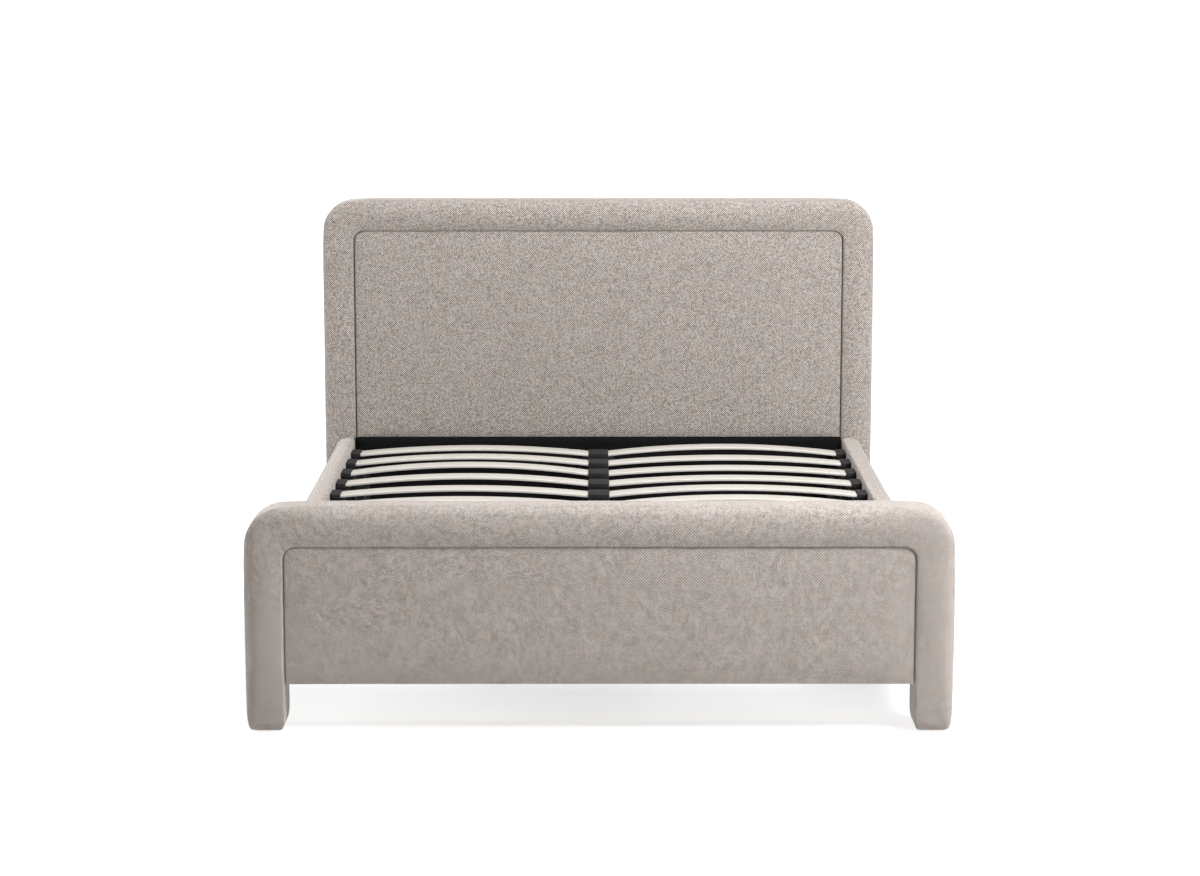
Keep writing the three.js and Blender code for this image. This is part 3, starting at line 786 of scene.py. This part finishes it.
# %% Lining helper
def hang_lining(name, rows, flat):
    """A thin sheet through rows of points, cut from a flat piece of this size."""
    columns = len(rows[0])
    points = [p for row in rows for p in row]
    faces = [(a, a + 1, a + columns + 1, a + columns)
             for r in range(len(rows) - 1) for a in range(r * columns, (r + 1) * columns - 1)]
    mesh = bpy.data.meshes.new(name)
    mesh.from_pydata(points, [], faces)
    mesh.shade_smooth()
    mesh.materials.append(lining)
    sheet = put(name, mesh)
    body = sheet.modifiers.new("body", "SOLIDIFY")
    body.thickness = 0.5 * MM
    body.offset = 0.0
    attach(sheet, BODY)
    print(name, "cut to", [round(s, 3) for s in flat], "m")
    return sheet


# %% Lining sheets
WELT = 6 * MM
TURN_BACK = 15 * MM
(x_low, y_low, bottom), (x_high, y_high, top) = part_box("headboard_lining")
levels = [(z, 0.0) for z in spread(bottom, top, 2 * STEP)]
levels += [(top + 0.4 * MM, TURN_BACK / 5), (top + 0.6 * MM, TURN_BACK)]
rows = []
for z, turned in levels:
    row = []
    for x in spread(x_low, x_high, 2 * STEP):
        slack = 0.7 * MM * noise.noise(Vector((x * 6, z * 9, 2.0)))
        welt = 0.6 * MM * math.exp(-(x / WELT) ** 2)
        row.append((x, (y_low + y_high) / 2 + slack - welt + turned, z))
    rows.append(row)
sheet = hang_lining("lining_sheet", rows, (x_high - x_low, top - bottom + TURN_BACK))
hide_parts("headboard_lining")

LINING_AIR = 0.6 * MM  # from the rail's cloth to the middle of the lining
ledge_bottom = low("slat_ledge_left", "z")
for side, word in ((-1, "left"), (1, "right")):
    (x_low, y_low, bottom), (x_high, y_high, top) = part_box("rail_cover_" + word)
    x = side * (min(abs(x_low), abs(x_high)) - LINING_AIR)
    levels = spread(bottom + 4 * MM, ledge_bottom - 2 * MM, 2 * STEP)
    rows = [[(x, y, z) for y in spread(y_low + STEP, y_high - STEP, 3 * STEP)] for z in levels]
    hang_lining("rail_lining_" + word, rows, (y_high - y_low - 2 * STEP, levels[-1] - levels[0]))

# %% [markdown]
# ## Geometry Nodes for what repeats
# Slats, caps, holders and screws repeat by simple rules: eleven rows, one pitch. A tree holds the rule and
# its inputs hold the sizes. Each tree ends in real geometry with its material, which is kept as a plain
# mesh.


# %% Tree helpers
def start_tree(name, **sizes):
    """An empty geometry tree with named inputs and one geometry output."""
    tree = bpy.data.node_groups.new(name, "GeometryNodeTree")
    tree.interface.new_socket("Geometry", in_out="INPUT", socket_type="NodeSocketGeometry")
    for label, kind in sizes.items():
        tree.interface.new_socket(label, in_out="INPUT", socket_type="NodeSocket" + kind)
    tree.interface.new_socket("Geometry", in_out="OUTPUT", socket_type="NodeSocketGeometry")
    return tree, add(tree, "NodeGroupInput").outputs


def end_tree(tree, geometry, material):
    """Makes instances real, gives them their material and sends them out."""
    real = add(tree, "GeometryNodeRealizeInstances", {0: geometry})
    painted = add(tree, "GeometryNodeSetMaterial", {"Geometry": real, "Material": material})
    add(tree, "NodeGroupOutput", {0: painted})


def grow(name, tree, sizes, seed_points=(), facings=()):
    """Runs a tree with these sizes and returns its result as a plain mesh object."""
    mesh = bpy.data.meshes.new(name + "_seed")
    mesh.from_pydata([tuple(p) for p in seed_points], [], [])
    if facings:
        facing = mesh.attributes.new("facing", "FLOAT_VECTOR", "POINT")
        facing.data.foreach_set("vector", np.array(facings, float).ravel())
    worker = put(name + "_worker", mesh)
    modifier = worker.modifiers.new("rule", "NODES")
    modifier.node_group = tree
    for item in tree.interface.items_tree:
        if item.in_out == "INPUT" and item.name in sizes:
            modifier[item.identifier] = sizes[item.name]
    made = bpy.data.meshes.new_from_object(worker.evaluated_get(bpy.context.evaluated_depsgraph_get()))
    bpy.data.objects.remove(worker)
    made.name = name
    made.shade_smooth()
    made.set_sharp_from_angle(angle=math.radians(35))
    print(name, len(made.polygons), "faces")
    return put(name, made)


# %% [markdown]
# ## Sprung slats
# A slat is a strip of bent veneers. Its top line is an arc through three points, and a rectangle with eased
# edges runs along it. The rectangle's own height is stored as "layer", and the birch finish draws its glue
# lines from that. The left-hand column is the right-hand one turned half round.

# %% Rows
ROWS = 11
row_nodes = ["slat_right_%02d" % (i + 1) for i in range(ROWS)]
first_slat, second_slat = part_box(row_nodes[0]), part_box(row_nodes[1])
ROW_START = (first_slat[0].y + first_slat[1].y) / 2
PITCH = ROW_START - (second_slat[0].y + second_slat[1].y) / 2
ROW_SIZES = {"Rows": ROWS, "Pitch": PITCH, "Start": ROW_START}
print(ROWS, "rows at a pitch of", round(PITCH / MM, 1), "mm")


def on_rows(tree, size, shape, twin=True):
    """Sets a shape on each row, and its twin turned half round where twin is on."""
    back = add(tree, MATH, {0: size["Pitch"], 1: -1.0}, operation="MULTIPLY")
    first = add(tree, COMBINE, {1: size["Start"]})
    offset = add(tree, COMBINE, {1: back})
    line = add(tree, "GeometryNodeMeshLine", {
        "Count": size["Rows"], "Start Location": first, "Offset": offset})
    one = add(tree, INSTANCE, {"Points": line, "Instance": shape})
    other = add(tree, INSTANCE, {
        "Points": line, "Instance": shape, "Selection": twin, "Rotation": (0.0, 0.0, math.pi)})
    both = add(tree, "GeometryNodeJoinGeometry", {0: one})
    tree.links.new(other.outputs[0], both.inputs[0])
    return both


# %% Slat tree
SLAT_THICK = 8 * MM
SLAT_RISE = 21 * MM
SLAT_ARRIS = 2.5 * MM


def slat_tree():
    floats = ("Pitch", "Start", "Width", "Thickness", "Rise", "Inner", "Outer", "EndTop", "Eased")
    tree, size = start_tree("slat_rule", Rows="Int", **{label: "Float" for label in floats})
    middle = add(tree, MATH, {0: size["Inner"], 1: size["Outer"]}, operation="ADD")
    halfway = add(tree, MATH, {0: middle, 1: 0.5}, operation="MULTIPLY")
    crown = add(tree, MATH, {0: size["EndTop"], 1: size["Rise"]}, operation="ADD")
    start = add(tree, COMBINE, {0: size["Inner"], 2: size["EndTop"]})
    peak = add(tree, COMBINE, {0: halfway, 2: crown})
    end = add(tree, COMBINE, {0: size["Outer"], 2: size["EndTop"]})
    line = add(tree, "GeometryNodeCurveArc", {"Resolution": 25, "Start": start, "Middle": peak, "End": end},
               mode="POINTS")
    upright = add(tree, "GeometryNodeSetCurveNormal", {0: line}, mode="Z_UP")
    shape = add(tree, "GeometryNodeCurvePrimitiveQuadrilateral", {
        "Width": size["Width"], "Height": size["Thickness"]})
    eased = add(tree, "GeometryNodeFilletCurve", {"Curve": shape, "Radius": size["Eased"], "Count": 3},
                mode="POLY")
    place = add(tree, "GeometryNodeInputPosition")
    height = add(tree, "ShaderNodeSeparateXYZ", {0: place})
    share = add(tree, MATH, {0: height.outputs[1], 1: size["Thickness"]}, operation="DIVIDE")
    from_top = add(tree, MATH, {0: 0.5, 1: share}, operation="ADD")
    layered = add(tree, "GeometryNodeStoreNamedAttribute", {
        "Geometry": eased, "Name": "layer", "Value": from_top})
    lower = add(tree, MATH, {0: size["Thickness"], 1: 0.5}, operation="MULTIPLY")
    down = add(tree, COMBINE, {1: lower})
    profile = add(tree, "GeometryNodeTransform", {"Geometry": layered, "Translation": down})
    slat = add(tree, "GeometryNodeCurveToMesh", {
        "Curve": upright, "Profile Curve": profile, "Fill Caps": True})
    end_tree(tree, on_rows(tree, size, slat), birch)
    return tree


LEFT_BOWS_MM = (-1, 2, 7, 3, -1, -1, 2, 0, -2, 1, 0)
RIGHT_BOWS_MM = (3, -2, -3, -2, 1, 4, 0, -1, 2, 0, -1)


def spring_back(piece):
    """Bent veneers spring back unevenly, so each slat's bow differs by a few millimetres."""
    inner, outer = first_slat[0].x, first_slat[1].x
    for vert in piece.data.vertices:
        row = round((ROW_START - vert.co.y) / PITCH)
        along = (2 * abs(vert.co.x) - inner - outer) / (outer - inner)
        bows = LEFT_BOWS_MM if vert.co.x < 0 else RIGHT_BOWS_MM
        vert.co.z += bows[row] * MM * (1 - along ** 2)


slats = grow("slats", slat_tree(), {
    **ROW_SIZES, "Width": first_slat[1].y - first_slat[0].y, "Thickness": SLAT_THICK, "Rise": SLAT_RISE,
    "Inner": first_slat[0].x, "Outer": first_slat[1].x, "EndTop": first_slat[1].z - SLAT_RISE,
    "Eased": SLAT_ARRIS})
spring_back(slats)
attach(slats, BODY)
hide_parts(*row_nodes, *[n.replace("right", "left") for n in row_nodes])
print("slats: box", [round(c, 4) for c in slats.bound_box[0]], [round(c, 4) for c in slats.bound_box[6]])

# %% [markdown]
# ## Rubber caps and centre holders
# Each slat end slips into the mouth of a rubber moulding: a cap on the rail, and a double holder on the
# beam. A moulding is a block with eased edges whose mouth is pressed in, and the tree sets one on every row.


# %% Mouldings
def block(name, size, centre, round_by, mouths):
    """A rubber block with eased edges and a mouth pressed into each end in mouths (-1, 1)."""
    form = bmesh.new()
    bmesh.ops.create_cube(form, size=1.0, matrix=Matrix.Translation(centre) @ Matrix.Diagonal((*size, 1.0)))
    for way in mouths:
        face = max(form.faces, key=lambda f: f.calc_center_median().x * way)
        bmesh.ops.inset_region(form, faces=[face], thickness=MOUTH_WALL)
        for vert in face.verts:
            vert.co.z = max(min(vert.co.z, MOUTH_TOP), MOUTH_BOTTOM)
        deeper = bmesh.ops.extrude_discrete_faces(form, faces=[face])["faces"][0]
        bmesh.ops.translate(form, verts=deeper.verts, vec=(-way * MOUTH_DEPTH, 0, 0))
    outer = [e for e in form.edges if e.calc_face_angle(0.0) > 0.6 and on_hull(e, size, centre)]
    bmesh.ops.bevel(form, geom=outer, offset=round_by, segments=3, affect="EDGES", profile=0.5)
    bmesh.ops.recalc_face_normals(form, faces=form.faces)
    mesh = bpy.data.meshes.new(name)
    form.to_mesh(mesh)
    form.free()
    return put(name, mesh)


def on_hull(edge, size, centre):
    """True for an edge that lies on two of the block's outer planes."""
    shared = 0
    for axis in range(3):
        for way in (-1, 1):
            plane = centre[axis] + way * size[axis] / 2
            shared += all(abs(v.co[axis] - plane) < 1e-6 for v in edge.verts)
    return shared >= 2


def moulding_tree():
    """Sets a moulding on each row, and its twin turned half round if Both is on."""
    tree, size = start_tree("moulding_rule", Shape="Object", Rows="Int", Pitch="Float", Start="Float",
                            Both="Bool")
    shape = add(tree, "GeometryNodeObjectInfo", {"Object": size["Shape"]})
    end_tree(tree, on_rows(tree, size, shape.outputs["Geometry"], size["Both"]), rubber)
    return tree


MOUTH_WALL = 3.2 * MM
MOUTH_DEPTH = 16 * MM
cap_low, cap_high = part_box("slat_caps_right")
holder_low, holder_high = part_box("slat_holders")
CAP_WIDTH = 76 * MM
CAP_SHORT = 8 * MM  # the caps' own mouths start this far outside the web that ties them in the solid
MOUTH_TOP = cap_high.z - 2.2 * MM
MOUTH_BOTTOM = cap_low.z + 4 * MM
moulding_rule = moulding_tree()
cap_start = cap_low.x + CAP_SHORT
cap = block("cap_shape", (cap_high.x - cap_start, CAP_WIDTH, cap_high.z - cap_low.z),
            ((cap_high.x + cap_start) / 2, 0.0, (cap_high.z + cap_low.z) / 2), 3 * MM, (-1,))
holder = block("holder_shape", (2 * holder_high.x, CAP_WIDTH, holder_high.z - holder_low.z),
               (0.0, 0.0, (holder_high.z + holder_low.z) / 2), 2 * MM, (-1, 1))
for name, shape, both, nodes in (("slat_end_caps", cap, True, ("slat_caps_left", "slat_caps_right")),
                                 ("centre_holders", holder, False, ("slat_holders",))):
    piece = grow(name, moulding_rule, {**ROW_SIZES, "Shape": shape, "Both": both})
    bpy.data.objects.remove(shape)
    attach(piece, BODY)
    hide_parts(*nodes)

# %% [markdown]
# ## Screws and bolts
# Steel parts are held by domed screws with a hexagon socket. A tree puts a head on each point, its axis
# along the point's stored "facing", and turns it by a seeded random amount, since no two screws stop alike.


# %% Screw head
HEAD_SIDES = 12
# Shares of the radius: how far out and how high. The last ring is the socket's floor.
HEAD_RINGS = ((1.0, 0.0), (1.0, 0.12), (0.86, 0.42), (0.62, 0.58), (0.42, 0.6), (0.42, 0.25))


def screw_head(name, radius):
    """A domed head with a six-sided socket, its seat at z = 0 and its top along +Z."""
    form = bmesh.new()
    loops = []
    for share, height in HEAD_RINGS:
        loops.append([form.verts.new((radius * share * math.cos(2 * math.pi * i / HEAD_SIDES),
                                      radius * share * math.sin(2 * math.pi * i / HEAD_SIDES),
                                      radius * height)) for i in range(HEAD_SIDES)])
    for loop in loops[-2:]:
        for i in range(1, HEAD_SIDES, 2):  # the socket's six flats
            loop[i].co.xy = (loop[i - 1].co.xy + loop[(i + 1) % HEAD_SIDES].co.xy) / 2
    for lower, upper in zip(loops, loops[1:]):
        for i in range(HEAD_SIDES):
            n = (i + 1) % HEAD_SIDES
            form.faces.new((lower[i], lower[n], upper[n], upper[i]))
    form.faces.new(loops[-1])
    form.faces.new(loops[0][::-1])
    mesh = bpy.data.meshes.new(name)
    form.to_mesh(mesh)
    form.free()
    return put(name, mesh)


def fastener_tree():
    tree, size = start_tree("fastener_rule", Head="Object", Seed="Int")
    head = add(tree, "GeometryNodeObjectInfo", {"Object": size["Head"]})
    facing = add(tree, "GeometryNodeInputNamedAttribute", {"Name": "facing"}, data_type="FLOAT_VECTOR")
    aim = add(tree, "FunctionNodeAlignRotationToVector", {"Vector": facing}, axis="Z")
    chance = add(tree, "FunctionNodeRandomValue", {"Seed": size["Seed"], 2: 0.0, 3: 2 * math.pi})
    turn = add(tree, COMBINE, {2: chance.outputs[1]})
    spin = add(tree, "FunctionNodeEulerToRotation", {0: turn})
    turned = add(tree, "FunctionNodeRotateRotation", {"Rotation": aim, "Rotate By": spin},
                 rotation_space="LOCAL")
    points = add(tree, "GeometryNodeMeshToPoints", {"Mesh": size["Geometry"]})
    heads = add(tree, INSTANCE, {"Points": points, "Instance": head.outputs["Geometry"], "Rotation": turned})
    end_tree(tree, heads, screw_steel)
    return tree


# %% [markdown]
# ## Where the screws go
# Two bolts go through each flange of a corner bracket, one screw between rows along the ledges, and four
# screws through each of the beam's hangers.

# %% Fasteners
STEEL = 3 * MM
BOLT_INSET = 28 * MM   # from the bracket's top and bottom
BOLT_ASIDE = 4 * MM    # from the middle of its flange, clear of the bend
SCREW_RISE = 14 * MM   # above the ledge's lower edge
HANGER_HALF = 40 * MM  # from the middle of the hanger
bolts, screws = [], []  # each is a point and a facing
for side, word in ((-1, "left"), (1, "right")):
    for end, away in (("head", -1), ("foot", 1)):
        lo_corner, hi_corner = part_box(f"{end}_bracket_{word}")
        wall_y = hi_corner.y - STEEL if end == "head" else lo_corner.y + STEEL
        rail_x = hi_corner.x - STEEL if side > 0 else lo_corner.x + STEEL
        centre_x, centre_y = (lo_corner.x + hi_corner.x) / 2, (lo_corner.y + hi_corner.y) / 2
        for z in (lo_corner.z + BOLT_INSET, hi_corner.z - BOLT_INSET):
            bolts.append(((centre_x - side * BOLT_ASIDE, wall_y, z), (0, away, 0)))
            bolts.append(((rail_x, centre_y + away * BOLT_ASIDE, z), (-side, 0, 0)))
for side, word in ((-1, "left"), (1, "right")):
    lo_corner, hi_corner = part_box("slat_ledge_" + word)
    face_x = hi_corner.x - STEEL if side > 0 else lo_corner.x + STEEL
    for row in range(ROWS - 1):
        y = ROW_START - (row + 0.5) * PITCH
        screws.append(((face_x, y, lo_corner.z + SCREW_RISE), (-side, 0, 0)))
for end, away in (("head", -1), ("foot", 1)):
    lo_corner, hi_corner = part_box("beam_hanger_" + end)
    face_y = hi_corner.y - STEEL if end == "head" else lo_corner.y + STEEL
    for x in (-HANGER_HALF, HANGER_HALF):
        for z in (lo_corner.z + 10 * MM, hi_corner.z - 9 * MM):
            screws.append(((x, face_y, z), (0, away, 0)))

fastener_rule = fastener_tree()
for name, radius, spots in (("bracket_bolts", 8 * MM, bolts), ("ledge_screws", 4.5 * MM, screws)):
    head = screw_head(name + "_head", radius)
    piece = grow(name, fastener_rule, {"Head": head, "Seed": 7}, *zip(*spots))
    bpy.data.objects.remove(head)
    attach(piece, BODY)
print(len(bolts), "bolts and", len(screws), "screws")

# %% [markdown]
# ## Studio
# The floor glows with painted light of its own, though it is no lamp, so the shadows under the bed stay
# pale.
# The glow is weaker near the bed, a painted shade, and full away from it. A broad light and a softbox hang
# above, a key light stands at the front right and a weak fill at the left, and the even white surroundings
# do the rest.

# %% Floor and lights
REACH = 600.0  # metres to the floor's edge, past what the camera can tell from the horizon
SURROUNDINGS = 0.35
floor_mesh = bpy.data.meshes.new("floor")
floor_mesh.from_pydata([(-REACH, -REACH, 0), (REACH, -REACH, 0), (REACH, REACH, 0), (-REACH, REACH, 0)], [],
                       [(0, 1, 2, 3)])
paper, paper_tree, paper_shader = start_material("white_floor_with_painted_glow", "#959595", Roughness=0.9,
                                                 Specular_IOR_Level=0.0)
paper_shader.inputs["Emission Color"].default_value = linear("#ffffff")
floor_place = add(paper_tree, "ShaderNodeTexCoord").outputs["Object"]
# Painted light: the floor's emission, weak near the bed as a painted shade and full away from it.
floor_range = add(paper_tree, VECTOR_MATH, {0: floor_place}, operation="LENGTH")
painted_floor_glow = add(paper_tree, MAP_RANGE, {
    "Value": floor_range.outputs["Value"], "From Min": 0.4, "From Max": 1.8, "To Min": 0.35, "To Max": 1.0})
feed(paper_tree, paper_shader, {"Emission Strength": painted_floor_glow})
floor_mesh.materials.append(paper)
floor = put("floor", floor_mesh)

world = bpy.data.worlds.new("studio")
world.use_nodes = True
feed(world.node_tree, world.node_tree.nodes["Background"], {"Color": linear("#ffffff"),
                                                            "Strength": SURROUNDINGS})
scene.world = world
scene.view_settings.view_transform = "Standard"


def shine(name, kind, place, aim, watts, hex_code, **settings):
    """A light of one kind that looks from its place at a point."""
    light = bpy.data.lights.new(name, kind)
    light.energy = watts
    light.color = linear(hex_code)[:3]
    for setting, value in settings.items():
        setattr(light, setting, value)
    stand = put(name, light)
    stand.location = place
    stand.rotation_euler = (Vector(aim) - Vector(place)).to_track_quat("-Z", "Y").to_euler()


shine("overhead", "SUN", (0.5, -0.45, 4.0), (0, 0, 0), 2.05, "#ffffff", angle=math.radians(60))
shine("softbox", "AREA", (0.3, -0.3, 3.4), (0.0, -0.2, 0.0), 60, "#ffffff", shape="SQUARE", size=3.0)
shine("key", "AREA", (2.4, -2.2, 2.8), (0.2, 0, 0.5), 240, "#fbfdff", shape="SQUARE", size=1.5)
shine("fill", "AREA", (-4.0, 0.6, 1.4), (-0.8, 0.6, 0.7), 70, "#ffffff", shape="SQUARE", size=2.0)
print("studio ready")
